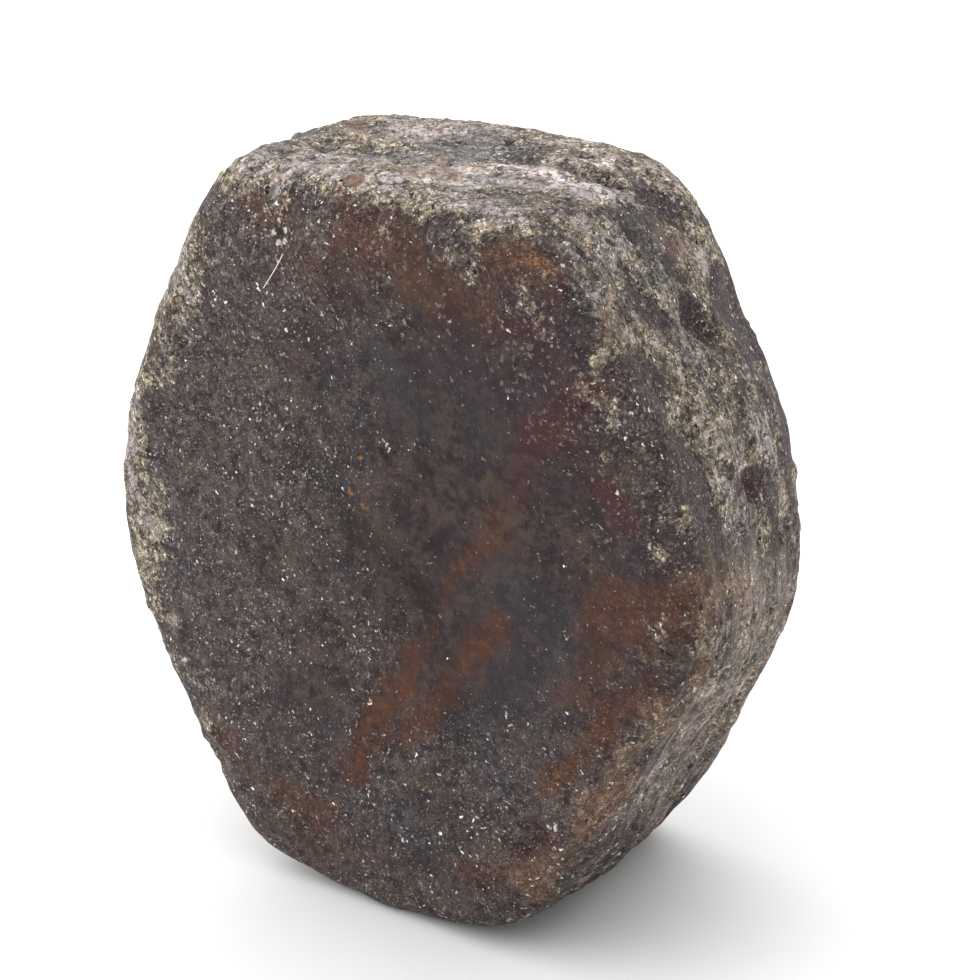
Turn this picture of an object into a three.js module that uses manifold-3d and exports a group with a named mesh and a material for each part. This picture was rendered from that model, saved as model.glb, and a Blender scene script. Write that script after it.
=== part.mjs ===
// Ruby crystal: one short, worn, six-sided prism of corundum, standing on one of its prism faces.
// Millimetres, +Z up. The crystal's own axis runs along Y, and its front basal face looks to -Y.
// The origin is on the ground, under the middle of the crystal.
import * as THREE from "three";
import { mergeVertices } from "three/addons/utils/BufferGeometryUtils.js";
import Module from "manifold-3d";

// Driving dimensions. Distances are in millimetres, and angles in degrees.
const CENTRE = new THREE.Vector3(-0.6, -0.7, 13.5); // middle of the prism, above the ground
const EDGE_WEAR = 0.63; // how broadly two faces run into each other at a worn edge

// The lower right of the front is less worn, and its edges are crisper.
const CRISP_EDGE_WEAR = 0.3;
const CRISP_SIDE = new THREE.Vector3(0.75, -0.45, -0.5).normalize();
const CRISP_CORE = 18; // all edges within this angle of that side are crisp
const CRISP_REACH = 44; // and from this angle outwards none is

// The two basal faces, across the crystal's axis. A face looks to the front (-Y) or the back (+Y),
// is swung by turn towards +X and tipped up by lean. Its distance is from the centre.
const BASAL_FACES = [
  { name: "front", looks: -1, turn: -1, lean: -0.5, distance: 6 },
  { name: "back", looks: 1, turn: 5.5, lean: 1, distance: 6.7 },
];

// The faces around the axis. The angle goes from +X up to +Z, and lean tips a face to the back.
const PRISM_FACES = [
  { name: "top", angle: 89, lean: 1, distance: 14.1 },
  { name: "upper right", angle: 32.5, lean: 8.5, distance: 12.75 },
  { name: "lower right", angle: -27, lean: 4, distance: 11.6 },
  { name: "resting face", angle: -90, lean: 0, distance: 13.85 },
  { name: "lower left", angle: 208.5, lean: 4, distance: 11.45 },
  { name: "upper left", angle: 156, lean: 3.5, distance: 11.9 },
];

// Corners that wear has flattened, given in the same way as the prism faces.
const WORN_CORNERS = [
  { name: "right corner", angle: 7.5, lean: 13, distance: 12.4 },
  { name: "left corner", angle: 181.5, lean: -1.5, distance: 12.35 },
  { name: "top left corner", angle: 120, lean: -11.5, distance: 17.1 },
  { name: "top right corner", angle: 58, lean: 14.5, distance: 16.3 },
  { name: "back of the top", angle: 100.5, lean: 35.5, distance: 14.1 },
  { name: "bottom left corner", angle: 243, lean: -1, distance: 14.15 },
  { name: "bottom right corner", angle: -60, lean: -5, distance: 14.05 },
  { name: "lower front bevel", angle: -33, lean: -31.5, distance: 12.8 },
];

// Hollows and pits, each along a line between two points that are measured from the centre.
const HOLLOWS = [
  { name: "top saucer", from: [-4.3, -2.2, 14.2], to: [-1.2, -1.8, 14.2], radius: 1.6, depth: 0.32 },
  { name: "top trough", from: [0.4, -1.2, 14.1], to: [2.6, 0.8, 14.1], radius: 1.3, depth: 0.2 },
  { name: "top cavity", from: [4.2, 0.8, 13.9], to: [5.3, 1.0, 13.8], radius: 0.9, depth: 0.45 },
  { name: "top corner scar", from: [6.4, 1.6, 12.9], to: [7.1, 2.3, 12.2], radius: 1, depth: 0.12 },
  { name: "upper right scar", from: [8.7, 4.5, 9.2], to: [9.8, 4.2, 7.9], radius: 1.3, depth: 0.14 },
  { name: "upper right pit", from: [9.1, 0.4, 9.6], to: [9.4, 1.2, 8.9], radius: 1, depth: 0.45 },
  { name: "upper right dip", from: [10.4, -3.4, 7.4], to: [11.6, -2.8, 5.4], radius: 1.5, depth: 0.25 },
  { name: "right corner pit", from: [11.8, -0.2, 4.7], to: [11.9, 0.4, 4.1], radius: 0.9, depth: 0.35 },
  { name: "lower corner pit", from: [6.6, -5.9, -9], to: [7.1, -5.9, -8.3], radius: 1, depth: 0.55 },
  { name: "left edge notch", from: [-7.9, -6, -9], to: [-7.1, -5.2, -9.6], radius: 0.9, depth: 0.3 },
  { name: "front valley, top", from: [-2.6, -6, 3.6], to: [0, -6, 1.1], radius: 1.8, depth: 0.14 },
  { name: "front valley, middle", from: [0, -6, 1.1], to: [2.8, -6, -0.4], radius: 1.8, depth: 0.12 },
  { name: "front valley, foot", from: [2.8, -6, -0.4], to: [4.3, -6, -5.5], radius: 1.8, depth: 0.14 },
  { name: "left corner chip", from: [-12, 0.5, 1.2], to: [-12, 2.6, 0.4], radius: 1.3, depth: 0.3 },
  { name: "lower left dip", from: [-9.4, 1.5, -6.5], to: [-8.6, 3.4, -8], radius: 1.5, depth: 0.3 },
  { name: "upper left dip", from: [-10.4, 2.4, 6.4], to: [-9.6, 0.2, 7.6], radius: 1.6, depth: 0.28 },
  { name: "back hollow, top", from: [-4.8, 6.6, 5.2], to: [-1.6, 6.8, 6.6], radius: 2, depth: 0.35 },
  { name: "back hollow, foot", from: [3.4, 6.9, -4.2], to: [5.6, 6.7, -2], radius: 1.7, depth: 0.3 },
  { name: "back pit", from: [-3.6, 6.7, -4], to: [-2.8, 6.7, -4.6], radius: 1.1, depth: 0.45 },
];

// Growth ledges: shallow grooves that run around the prism faces at one place along the axis.
const GROWTH_GROOVES = [
  { along: -3.9, depth: 0.12 },
  { along: -1.9, depth: 0.2 },
  { along: 0.7, depth: 0.14 },
  { along: 2.9, depth: 0.22 },
  { along: 4.7, depth: 0.12 },
];
const GROOVE_RADIUS = 0.8; // from the middle of a groove to its rim
const GROOVE_ANGLE = -27; // the grooves are deepest on the lower right face
const GROOVE_SHARE = 0.25; // depth that is left on the opposite side of the crystal

// Unevenness of the whole skin: waves in spread-out directions, each shorter and lower than the last.
const WAVE_COUNT = 14;
const LONGEST_WAVE = 9;
const WAVE_SHRINK = 0.86; // length of a wave as a share of the one before
const WAVE_STEEPNESS = 0.006; // height as a share of length
const WAVE_PHASE = 1.4; // radians from one wave to the next

// Mesh: a ball of triangles, flattened along the axis as the crystal is, and then pushed out to it.
const BALL_DETAIL = 21;
const BALL_FLATTENING = 0.55;
const NEWTON_STEPS = 8;

const GOLDEN_ANGLE = Math.PI * (3 - Math.sqrt(5));
const radians = THREE.MathUtils.degToRad;

function basalNormal({ looks, turn, lean }) {
  const [swing, rise] = [radians(turn), radians(lean)];
  return new THREE.Vector3(
    Math.sin(swing) * Math.cos(rise),
    looks * Math.cos(swing) * Math.cos(rise),
    Math.sin(rise),
  );
}

function prismNormal({ angle, lean }) {
  const [around, back] = [radians(angle), radians(lean)];
  return new THREE.Vector3(
    Math.cos(back) * Math.cos(around),
    Math.sin(back),
    Math.cos(back) * Math.sin(around),
  );
}

const FACES = [
  ...BASAL_FACES.map((face) => ({ normal: basalNormal(face), distance: face.distance })),
  ...[...PRISM_FACES, ...WORN_CORNERS].map((face) => ({
    normal: prismNormal(face),
    distance: face.distance,
  })),
];

// How broadly the faces run into each other, in one direction from the centre.
function edgeWear(direction) {
  const nearness = direction.dot(CRISP_SIDE);
  const crisp = THREE.MathUtils.smoothstep(
    nearness,
    Math.cos(radians(CRISP_REACH)),
    Math.cos(radians(CRISP_CORE)),
  );
  return THREE.MathUtils.lerp(EDGE_WEAR, CRISP_EDGE_WEAR, crisp);
}

// The point of the worn surface in one direction from the centre, and its outward normal. The faces'
// planes are joined by a smooth maximum, whose zero is found by Newton's method.
function wornSurface(direction) {
  const wear = edgeWear(direction);
  const slopes = FACES.map((face) => face.normal.dot(direction));
  const reaches = FACES.map((face, i) => (slopes[i] > 0 ? face.distance / slopes[i] : Infinity));
  let reach = Math.min(...reaches);
  let weights = [];
  for (let step = 0; step < NEWTON_STEPS; step += 1) {
    const heights = FACES.map((face, i) => (slopes[i] * reach - face.distance) / wear);
    const highest = Math.max(...heights);
    weights = heights.map((height) => Math.exp(height - highest));
    const total = weights.reduce((sum, weight) => sum + weight, 0);
    const slope = weights.reduce((sum, weight, i) => sum + weight * slopes[i], 0) / total;
    reach -= (wear * (highest + Math.log(total))) / slope;
  }
  const normal = new THREE.Vector3();
  FACES.forEach((face, i) => normal.addScaledVector(face.normal, weights[i]));
  return { point: direction.clone().multiplyScalar(reach), normal: normal.normalize() };
}

// A smooth bowl: 1 in the middle, 0 from the rim outwards.
function bowl(distance, radius) {
  const share = Math.min(distance / radius, 1);
  return (1 - share * share) ** 2;
}

const hollowLines = HOLLOWS.map(({ from, to, radius, depth }) => ({
  line: new THREE.Line3(new THREE.Vector3(...from), new THREE.Vector3(...to)),
  radius,
  depth,
}));

function hollowDepth(point) {
  const nearest = new THREE.Vector3();
  return hollowLines.reduce((sum, { line, radius, depth }) => {
    line.closestPointToPoint(point, true, nearest);
    return sum + depth * bowl(nearest.distanceTo(point), radius);
  }, 0);
}

function grooveDepth(point, normal) {
  const away = Math.cos(Math.atan2(point.z, point.x) - radians(GROOVE_ANGLE));
  const strength = GROOVE_SHARE + ((1 - GROOVE_SHARE) * (1 + away)) / 2;
  const onSide = 1 - normal.y * normal.y;
  const depth = GROWTH_GROOVES.reduce(
    (sum, groove) => sum + groove.depth * bowl(Math.abs(point.y - groove.along), GROOVE_RADIUS),
    0,
  );
  return depth * strength * onSide * onSide;
}

const waves = Array.from({ length: WAVE_COUNT }, (_, i) => {
  const rise = 1 - (2 * i + 1) / WAVE_COUNT;
  const flat = Math.sqrt(1 - rise * rise);
  const turn = i * GOLDEN_ANGLE;
  const length = LONGEST_WAVE * WAVE_SHRINK ** i;
  return {
    direction: new THREE.Vector3(flat * Math.cos(turn), flat * Math.sin(turn), rise),
    length,
    height: WAVE_STEEPNESS * length,
    phase: WAVE_PHASE * i,
  };
});

function unevenness(point) {
  return waves.reduce((sum, { direction, length, height, phase }) => {
    const turns = direction.dot(point) / length;
    return sum + height * Math.sin(2 * Math.PI * turns + phase);
  }, 0);
}

function skinPoint(direction) {
  const { point, normal } = wornSurface(direction);
  const raised = unevenness(point) - hollowDepth(point) - grooveDepth(point, normal);
  return point.addScaledVector(normal, raised).add(CENTRE);
}

function crystalSkin() {
  const ball = new THREE.IcosahedronGeometry(1, BALL_DETAIL);
  ball.deleteAttribute("normal");
  ball.deleteAttribute("uv");
  const skin = mergeVertices(ball);
  const corners = skin.getAttribute("position");
  const direction = new THREE.Vector3();
  for (let i = 0; i < corners.count; i += 1) {
    direction.fromBufferAttribute(corners, i);
    direction.y *= BALL_FLATTENING;
    const { x, y, z } = skinPoint(direction.normalize());
    corners.setXYZ(i, x, y, z);
  }
  return skin;
}

// The resting face is cut level with the ground, so that the crystal stands on a true flat.
async function cutLevel(geometry) {
  const wasm = await Module();
  wasm.setup();
  const solid = new wasm.Manifold(
    new wasm.Mesh({
      numProp: 3,
      vertProperties: new Float32Array(geometry.getAttribute("position").array),
      triVerts: new Uint32Array(geometry.index.array),
    }),
  );
  const cut = solid.trimByPlane([0, 0, 1], 0).getMesh();
  const level = new THREE.BufferGeometry();
  level.setAttribute("position", new THREE.BufferAttribute(cut.vertProperties, 3));
  level.setIndex(new THREE.BufferAttribute(cut.triVerts, 1));
  level.computeVertexNormals();
  return level;
}

const rubyMaterial = new THREE.MeshStandardMaterial({
  color: 0x5a4c4b,
  roughness: 0.55,
  metalness: 0,
});

const crystal = new THREE.Mesh(await cutLevel(crystalSkin()), rubyMaterial);
crystal.name = "ruby_crystal";

const model = new THREE.Group();
model.add(crystal);

export default model;
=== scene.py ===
import math

import bpy
import numpy as np
from mathutils import Matrix, Vector


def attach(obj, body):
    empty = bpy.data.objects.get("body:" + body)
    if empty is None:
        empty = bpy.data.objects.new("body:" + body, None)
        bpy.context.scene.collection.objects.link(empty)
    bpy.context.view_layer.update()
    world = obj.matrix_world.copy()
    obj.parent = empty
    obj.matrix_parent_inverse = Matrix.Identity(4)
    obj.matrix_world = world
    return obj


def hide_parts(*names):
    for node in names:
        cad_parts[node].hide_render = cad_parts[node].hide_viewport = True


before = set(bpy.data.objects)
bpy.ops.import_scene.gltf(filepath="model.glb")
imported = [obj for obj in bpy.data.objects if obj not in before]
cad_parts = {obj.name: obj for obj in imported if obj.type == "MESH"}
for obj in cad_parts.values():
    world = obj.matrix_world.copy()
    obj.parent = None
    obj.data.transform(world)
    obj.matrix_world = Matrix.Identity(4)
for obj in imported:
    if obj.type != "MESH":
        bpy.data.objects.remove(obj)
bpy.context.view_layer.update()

MM = 0.001
NODE = "ruby_crystal"

# -------- The crystal's form, with the same faces, hollows, grooves and waves as the solid --------

CENTRE = np.array([-0.6, -0.7, 13.5])  # middle of the prism, above the ground
EDGE_WEAR = 0.63  # how broadly two faces run into each other at a worn edge

# The lower right of the front is less worn, and its edges are crisper.
CRISP_EDGE_WEAR = 0.3
CRISP_SIDE = np.array([0.75, -0.45, -0.5])
CRISP_CORE = 18  # all edges within this angle of that side are crisp
CRISP_REACH = 44  # and from this angle outwards none is

# Basal faces: front or back (-1 or 1), turn towards +X, lean upwards, distance from the centre.
BASAL_FACES = {
    "front": (-1, -1, -0.5, 6),
    "back": (1, 5.5, 1, 6.7),
}

# Faces around the axis: angle from +X up to +Z, lean to the back, distance from the centre.
PRISM_FACES = {
    "top": (89, 1, 14.1),
    "upper right": (32.5, 8.5, 12.75),
    "lower right": (-27, 4, 11.6),
    "resting face": (-90, 0, 13.85),
    "lower left": (208.5, 4, 11.45),
    "upper left": (156, 3.5, 11.9),
    "right corner": (7.5, 13, 12.4),
    "left corner": (181.5, -1.5, 12.35),
    "top left corner": (120, -11.5, 17.1),
    "top right corner": (58, 14.5, 16.3),
    "back of the top": (100.5, 35.5, 14.1),
    "bottom left corner": (243, -1, 14.15),
    "bottom right corner": (-60, -5, 14.05),
    "lower front bevel": (-33, -31.5, 12.8),
}

# Hollows and pits: from, to (both from the centre), radius, depth.
HOLLOWS = [
    ((-4.3, -2.2, 14.2), (-1.2, -1.8, 14.2), 1.6, 0.32),  # top saucer
    ((0.4, -1.2, 14.1), (2.6, 0.8, 14.1), 1.3, 0.2),  # top trough
    ((4.2, 0.8, 13.9), (5.3, 1.0, 13.8), 0.9, 0.45),  # top cavity
    ((6.4, 1.6, 12.9), (7.1, 2.3, 12.2), 1, 0.12),  # top corner scar
    ((8.7, 4.5, 9.2), (9.8, 4.2, 7.9), 1.3, 0.14),  # upper right scar
    ((9.1, 0.4, 9.6), (9.4, 1.2, 8.9), 1, 0.45),  # upper right pit
    ((10.4, -3.4, 7.4), (11.6, -2.8, 5.4), 1.5, 0.25),  # upper right dip
    ((11.8, -0.2, 4.7), (11.9, 0.4, 4.1), 0.9, 0.35),  # right corner pit
    ((6.6, -5.9, -9), (7.1, -5.9, -8.3), 1, 0.55),  # lower corner pit
    ((-7.9, -6, -9), (-7.1, -5.2, -9.6), 0.9, 0.3),  # left edge notch
    ((-2.6, -6, 3.6), (0, -6, 1.1), 1.8, 0.14),  # front valley, top
    ((0, -6, 1.1), (2.8, -6, -0.4), 1.8, 0.12),  # front valley, middle
    ((2.8, -6, -0.4), (4.3, -6, -5.5), 1.8, 0.14),  # front valley, foot
    ((-12, 0.5, 1.2), (-12, 2.6, 0.4), 1.3, 0.3),  # left corner chip
    ((-9.4, 1.5, -6.5), (-8.6, 3.4, -8), 1.5, 0.3),  # lower left dip
    ((-10.4, 2.4, 6.4), (-9.6, 0.2, 7.6), 1.6, 0.28),  # upper left dip
    ((-4.8, 6.6, 5.2), (-1.6, 6.8, 6.6), 2, 0.35),  # back hollow, top
    ((3.4, 6.9, -4.2), (5.6, 6.7, -2), 1.7, 0.3),  # back hollow, foot
    ((-3.6, 6.7, -4), (-2.8, 6.7, -4.6), 1.1, 0.45),  # back pit
]

# Growth grooves: place along the axis, depth.
GROWTH_GROOVES = [(-3.9, 0.12), (-1.9, 0.2), (0.7, 0.14), (2.9, 0.22), (4.7, 0.12)]
GROOVE_RADIUS = 0.8
GROOVE_ANGLE = -27
GROOVE_SHARE = 0.12  # grit fills them up on the far side of the crystal
GROOVE_FOCUS = 5  # how quickly they fade away from the lower right face

# Waves all over, each shorter than the one before.
WAVE_COUNT = 14
LONGEST_WAVE = 9
WAVE_SHRINK = 0.86
WAVE_STEEPNESS = 0.006
WAVE_PHASE = 1.4

BALL_FREQUENCY = 96  # edge splits of the icosahedron that the skin's mesh starts from
BALL_FLATTENING = 0.55
NEWTON_STEPS = 8
FACE_FADE = 1.8  # how far one face's crust fades over the edge into the next
GOLDEN_ANGLE = math.pi * (3 - math.sqrt(5))


def smooth_step(values, low, high):
    share = np.clip((values - low) / (high - low), 0, 1)
    return share * share * (3 - 2 * share)


def basal_normal(looks, turn, lean):
    swing, rise = math.radians(turn), math.radians(lean)
    return (math.sin(swing) * math.cos(rise), looks * math.cos(swing) * math.cos(rise), math.sin(rise))


def prism_normal(angle, lean):
    around, back = math.radians(angle), math.radians(lean)
    return (math.cos(back) * math.cos(around), math.sin(back), math.cos(back) * math.sin(around))


FACE_NAMES = list(BASAL_FACES) + list(PRISM_FACES)
NORMALS = np.array(
    [basal_normal(*face[:3]) for face in BASAL_FACES.values()]
    + [prism_normal(*face[:2]) for face in PRISM_FACES.values()]
)
DISTANCES = np.array([face[-1] for face in [*BASAL_FACES.values(), *PRISM_FACES.values()]])


def ball(frequency):
    """Points and triangles of an even ball: an icosahedron whose faces are split into small ones."""
    golden = (1 + math.sqrt(5)) / 2
    corners = [(x, y * golden, 0) for x in (-1, 1) for y in (-1, 1)]
    corners += [(0, x, y * golden) for x in (-1, 1) for y in (-1, 1)]
    corners += [(x * golden, 0, y) for x in (-1, 1) for y in (-1, 1)]
    corners = np.array(corners, float)
    close = np.linalg.norm(corners[:, None] - corners[None], axis=2) < 2.1
    sides = [
        (a, b, c)
        for a in range(12)
        for b in range(a + 1, 12)
        for c in range(b + 1, 12)
        if close[a, b] and close[b, c] and close[a, c]
    ]
    points, triangles = [], []
    for a, b, c in sides:
        if np.dot(np.cross(corners[b] - corners[a], corners[c] - corners[a]), corners[a]) < 0:
            b, c = c, b
        start = len(points)
        row_start = []
        for i in range(frequency + 1):
            row_start.append(start + sum(frequency + 1 - k for k in range(i)))
            for j in range(frequency + 1 - i):
                to_b, to_c = i / frequency, j / frequency
                points.append(
                    corners[a] + to_b * (corners[b] - corners[a]) + to_c * (corners[c] - corners[a])
                )
        for i in range(frequency):
            for j in range(frequency - i):
                here, above = row_start[i] + j, row_start[i + 1] + j
                triangles.append((here, above, here + 1))
                if j < frequency - i - 1:
                    triangles.append((here + 1, above, above + 1))
    points = np.array(points)
    _, first, merged = np.unique(np.round(points, 6), axis=0, return_index=True, return_inverse=True)
    return points[first], merged.reshape(-1)[np.array(triangles)]


def edge_wear(directions):
    """How broadly the faces run into each other, seen from the centre."""
    nearness = directions @ CRISP_SIDE / np.linalg.norm(CRISP_SIDE)
    reach, core = math.cos(math.radians(CRISP_REACH)), math.cos(math.radians(CRISP_CORE))
    return EDGE_WEAR + (CRISP_EDGE_WEAR - EDGE_WEAR) * smooth_step(nearness, reach, core)


def worn_surface(directions):
    """Points of the worn form in the given directions, each face's share in the skin there, and the
    same shares with a broad fade, for colours that spread over the edges."""
    wear = edge_wear(directions)
    slopes = directions @ NORMALS.T
    with np.errstate(divide="ignore", invalid="ignore"):
        reach = np.where(slopes > 0, DISTANCES / slopes, np.inf).min(1)
    for _ in range(NEWTON_STEPS):
        heights = (slopes * reach[:, None] - DISTANCES) / wear[:, None]
        highest = heights.max(1, keepdims=True)
        weights = np.exp(heights - highest)
        total = weights.sum(1)
        reach -= wear * (highest[:, 0] + np.log(total)) / ((slopes * weights).sum(1) / total)
    nearness = np.exp((slopes * reach[:, None] - DISTANCES) / FACE_FADE)
    return directions * reach[:, None], weights / total[:, None], nearness / nearness.sum(1, keepdims=True)


def bowl(distance, radius):
    """A smooth bowl: 1 in the middle, 0 from the rim outwards."""
    return (1 - np.minimum(distance / radius, 1) ** 2) ** 2


def line_distance(points, start, end):
    start, run = np.array(start, float), np.subtract(end, start)
    along = np.clip((points - start) @ run / max(run @ run, 1e-9), 0, 1)
    return np.linalg.norm(points - start - along[:, None] * run, axis=1)


def hollow_depth(points):
    return sum(depth * bowl(line_distance(points, a, b), radius) for a, b, radius, depth in HOLLOWS)


def groove_depth(points, normals):
    away = np.cos(np.arctan2(points[:, 2], points[:, 0]) - math.radians(GROOVE_ANGLE))
    strength = GROOVE_SHARE + (1 - GROOVE_SHARE) * ((1 + away) / 2) ** GROOVE_FOCUS
    on_side = (1 - normals[:, 1] ** 2) ** 2
    depth = sum(d * bowl(np.abs(points[:, 1] - along), GROOVE_RADIUS) for along, d in GROWTH_GROOVES)
    return depth * strength * on_side


def unevenness(points):
    total = np.zeros(len(points))
    for i in range(WAVE_COUNT):
        rise = 1 - (2 * i + 1) / WAVE_COUNT
        flat = math.sqrt(1 - rise * rise)
        turn = i * GOLDEN_ANGLE
        length = LONGEST_WAVE * WAVE_SHRINK**i
        turns = points @ np.array([flat * math.cos(turn), flat * math.sin(turn), rise]) / length
        total += WAVE_STEEPNESS * length * np.sin(2 * math.pi * turns + WAVE_PHASE * i)
    return total


# -------- Noise that is the same on every run --------


def cell_random(cells, seed):
    """A number from 0 to 1 for each whole-numbered cell."""
    x, y, z = (cells[..., i].astype(np.int64) for i in range(3))
    mixed = (x * 73856093 ^ y * 19349663 ^ z * 83492791 ^ (seed + 1) * 2654435761) & 0xFFFFFFFF
    for shift, factor in ((15, 2246822519), (13, 3266489917)):
        mixed = ((mixed ^ (mixed >> shift)) * factor) & 0xFFFFFFFF
    return (mixed ^ (mixed >> 16)) / 2**32


def noise(points, size, seed):
    """Smooth noise from -1 to 1, whose lumps are about size across."""
    places = points / size
    cells = np.floor(places)
    share = places - cells
    share = share * share * (3 - 2 * share)
    total = np.zeros(len(points))
    for corner in np.ndindex(2, 2, 2):
        pick = np.array(corner)
        weight = np.where(pick, share, 1 - share).prod(1)
        total += weight * cell_random(cells + pick, seed)
    return 2 * total - 1


def layered_noise(points, size, layers, seed):
    """Noise with finer and weaker layers on top, from about -1 to 1."""
    total = sum(noise(points, size / 2**i, seed + i) / 1.7**i for i in range(layers))
    return total / sum(1 / 1.7**i for i in range(layers)) * 1.4


def spots(points, size, seed):
    """Distance to the nearest of many scattered points, as a share of size, and its random number."""
    places = points / size
    cells = np.floor(places)
    nearest = np.full(len(points), np.inf)
    number = np.zeros(len(points))
    for step in np.ndindex(3, 3, 3):
        cell = cells + np.array(step) - 1
        spot = cell + np.stack([cell_random(cell, seed + k) for k in range(3)], axis=1)
        distance = np.linalg.norm(places - spot, axis=1)
        closer = distance < nearest
        nearest = np.where(closer, distance, nearest)
        number = np.where(closer, cell_random(cell, seed + 3), number)
    return nearest, number


# -------- The skin: fine relief and the places of crust, grit, stains and shade --------

# How much of each face is covered by sandy crust. The front is bare.
CRUST_COVER = {
    "front": 0,
    "back": 0.2,
    "top": 1,
    "upper right": 0.55,
    "lower right": 0.22,
    "resting face": 0.3,
    "lower left": 0.4,
    "upper left": 0.5,
    "right corner": 0.5,
    "left corner": 0.6,
    "top left corner": 0.85,
    "top right corner": 0.6,
    "back of the top": 0.6,
    "bottom left corner": 0.35,
    "bottom right corner": 0.15,
    "lower front bevel": 0.2,
}

# Marks on the skin: from, to (both from the centre), radius, strength.
RUST_MARKS = [
    ((6.1, -6, 13), (7.4, -5.8, 12.6), 0.8, 1),  # orange spot under the top edge
    ((-5, -5.9, 12.9), (-3.9, -5.9, 12.8), 0.8, 0.9),
    ((-0.8, -6, 12.8), (1.6, -6, 12.3), 1, 0.75),
    ((-3.4, -6, 11.2), (-1.4, -6, 10.9), 0.9, 0.4),
    ((2.1, -6, 11.6), (5.2, -6, 11), 1, 0.6),
    ((9.1, -6, 8.9), (7.5, -6, 6.8), 0.5, 0.3),  # streaks that run down from the upper right edge
    ((5.6, -6, 3.2), (4.2, -6, 1.6), 0.6, 0.7),
    ((3.7, -6, 1), (2, -6, -2.5), 0.45, 0.5),
    ((2, -6, -2.5), (-1, -6, -7.9), 0.6, 1),
    ((5.5, -6, -0.4), (1.7, -6, -5.9), 0.55, 0.9),
    ((9.8, -6, 1.4), (12.4, -5.9, 1.6), 1.1, 0.9),  # wide stain above the bevel
    ((12.2, -5.2, 1.8), (13, -3.6, 2), 0.7, 0.9),
    ((-8.8, -5.7, 8.4), (-8.6, -5.8, 9.2), 0.6, 0.7),
    ((-7.2, -5.8, -8.4), (-5.4, -5.9, -9.4), 0.7, 0.6),
    ((-3.9, -6, -9.6), (-2.6, -6, -10.2), 0.8, 0.7),
    ((12, -5.6, -0.6), (7.6, -6, -6), 0.6, 1),
    ((10.2, -6, 0.2), (8.9, -6, -2.4), 0.9, 0.6),
    ((13.2, -4.3, 1.8), (12.7, -1.4, 1), 0.9, 0.7),
    ((12.2, -4.6, -1.6), (8.5, -5.2, -7.8), 0.6, 0.7),
    ((6.3, -5.9, -9.8), (4.9, -6, -10.7), 0.8, 0.6),
    ((-0.6, -6, -11.4), (-3.4, -6, -11.9), 0.8, 0.5),
    ((-8.4, -5.6, 9.7), (-10.2, -5.2, 5.8), 0.8, 0.4),
    ((-1.1, -1.1, 14.2), (0.4, -2.1, 14.2), 0.8, 0.6),  # top
    ((-2.5, 6.5, -8), (1.5, 6.7, -1.5), 0.8, 0.9),  # back
    ((-0.5, 6.5, -8.5), (3.5, 6.7, -1), 0.6, 0.8),
    ((-8, 6, 2), (-5, 6.5, 7.5), 1, 0.7),
    ((5.5, 6.3, 5), (8, 5.4, 9), 0.8, 0.8),
    ((-6, 6.5, -3.5), (-8.5, 6, -7), 0.8, 0.6),
    ((-12.2, -1.5, 3), (-12, 2, -0.5), 0.8, 0.6),  # left
    ((-9.8, -2.5, -6.5), (-8.8, 1.5, -8.5), 0.8, 0.7),
    ((-10.4, 1, 6.8), (-9.4, 3.5, 8.8), 0.9, 0.6),
]

OCHRE_MARKS = [
    ((6.2, -5.8, 13), (7.2, -5.7, 12.7), 0.5, 0.6),
    ((-1.1, -5.2, 14.1), (-0.7, -5.2, 14.1), 0.35, 0.9),
    ((-5.1, 0.5, 14.2), (-5.1, 0.9, 14.2), 0.35, 0.9),
]

TAN_MARKS = [
    ((12.9, -2.8, 1.9), (12.7, -2.2, 0.6), 0.9, 1),
    ((12.8, -4.8, 2.6), (12.9, -4.8, 0.8), 0.9, 0.9),
    ((13, -5, 0.4), (11.3, -5.2, -2.8), 0.7, 1),
    ((11.3, -5.2, -2.8), (8.6, -5.4, -7.2), 0.6, 1),
    ((8.6, -5.4, -7.2), (6.6, -5.4, -10.2), 0.6, 0.7),
    ((-0.8, -3.6, 14.2), (1.2, -2.6, 14.2), 0.5, 0.7),  # the ridge between the hollows of the top
    ((0.2, -1.8, 14.2), (-0.6, -0.8, 14.2), 0.5, 0.7),
    ((7.4, 1.6, 11.8), (7.8, 2.2, 11.2), 0.7, 0.5),
    ((9.4, -4.9, 10.4), (9, -4.4, 11), 0.6, 0.5),
]

SLATE_MARKS = [
    ((-2.2, -1.9, 14.2), (-0.8, -1.6, 14.2), 0.9, 0.5),
    ((-0.6, 0, 14.1), (1.1, 0.8, 14.1), 1.2, 1),
    ((0.6, -6, 8), (2, -6, 6.6), 1, 1),
    ((3.6, -6, 8.6), (5.7, -6, 6.1), 1.2, 0.5),
    ((5.7, -6, 1), (8.1, -6, 0.4), 1, 0.9),
    ((8, -6, -0.6), (4.6, -6, -3.8), 1.6, 0.8),
    ((6.9, -6, -3.6), (4.8, -6, -6.5), 1.3, 0.7),
    ((1.3, -6, -8.8), (2.6, -6, -9.8), 1, 0.9),
    ((13, -4.2, 0.5), (12.9, -4, 0), 0.5, 1),
    ((-9.2, -5.8, 0.8), (-8.2, -6, -2.8), 0.9, 0.6),
    ((7.2, -6, 8.6), (8.6, -5.2, 11.6), 0.8, 0.6),
    ((7.2, -0.2, 12.5), (7.9, -0.4, 11.4), 1, 0.8),
    ((9, 0.4, 9.8), (9.9, -0.8, 8.4), 1, 0.6),
    ((3, 6.7, 3.5), (6, 6.5, -0.5), 1.3, 0.8),  # back
    ((-6.5, 6.3, 8.5), (-3, 6.4, 10.5), 1.2, 0.7),
    ((-8.5, -1.5, 9.5), (-7.5, 2.5, 10.8), 1.1, 0.7),  # left
]

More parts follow.
